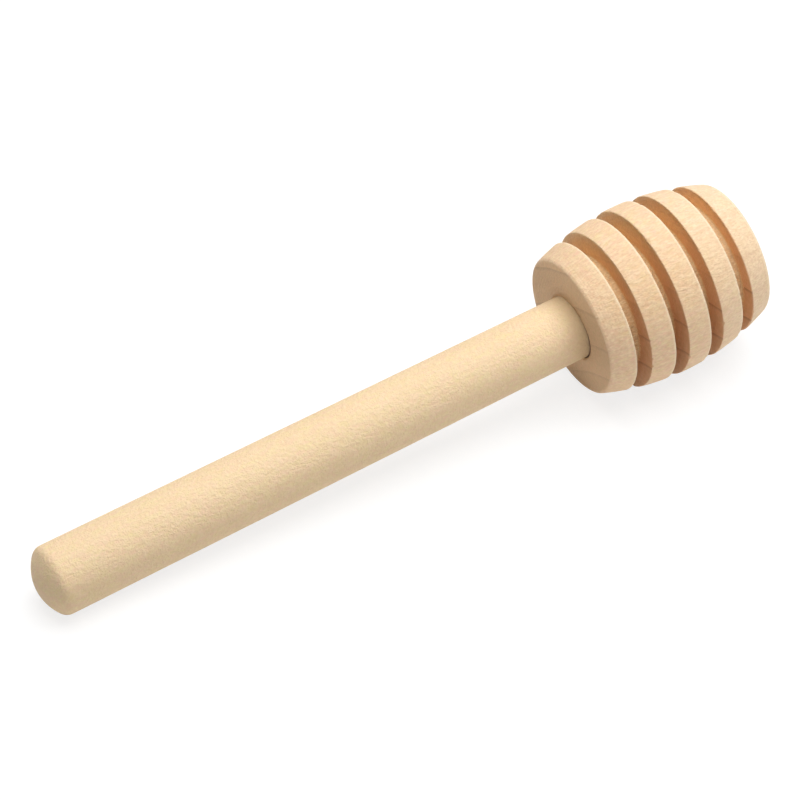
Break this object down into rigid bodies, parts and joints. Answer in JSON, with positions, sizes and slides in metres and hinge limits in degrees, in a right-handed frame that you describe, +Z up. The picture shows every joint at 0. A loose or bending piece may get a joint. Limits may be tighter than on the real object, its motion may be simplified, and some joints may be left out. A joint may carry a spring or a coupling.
{
  "type": "honey dipper",
  "caption": "Small wooden honey dipper: a grooved, barrel-shaped head on a straight round dowel with a domed tip, lying as it is left on a table.",
  "frame": {"origin": "on the table, under the middle of the dipper's box, as it lies at rest", "axes": "+X runs along the table from the tip of the handle to the head, +Y is across, +Z is up; the dipper's own axis leans 4.528 degrees up from +X"},
  "size_m": [0.0818, 0.0182, 0.0183],
  "materials": {
    "handle_wood": "pale close-grained dowel, sanded smooth and left bare",
    "head_wood": "pale pinkish wood, turned and bare, darker on end grain and in the grooves",
    "glue": "dried wood glue, amber, hidden in the joint"
  },
  "bodies": {
    "root": {"handle": "handle_wood", "head": "head_wood", "glue": "glue"}
  },
  "joints": []
}
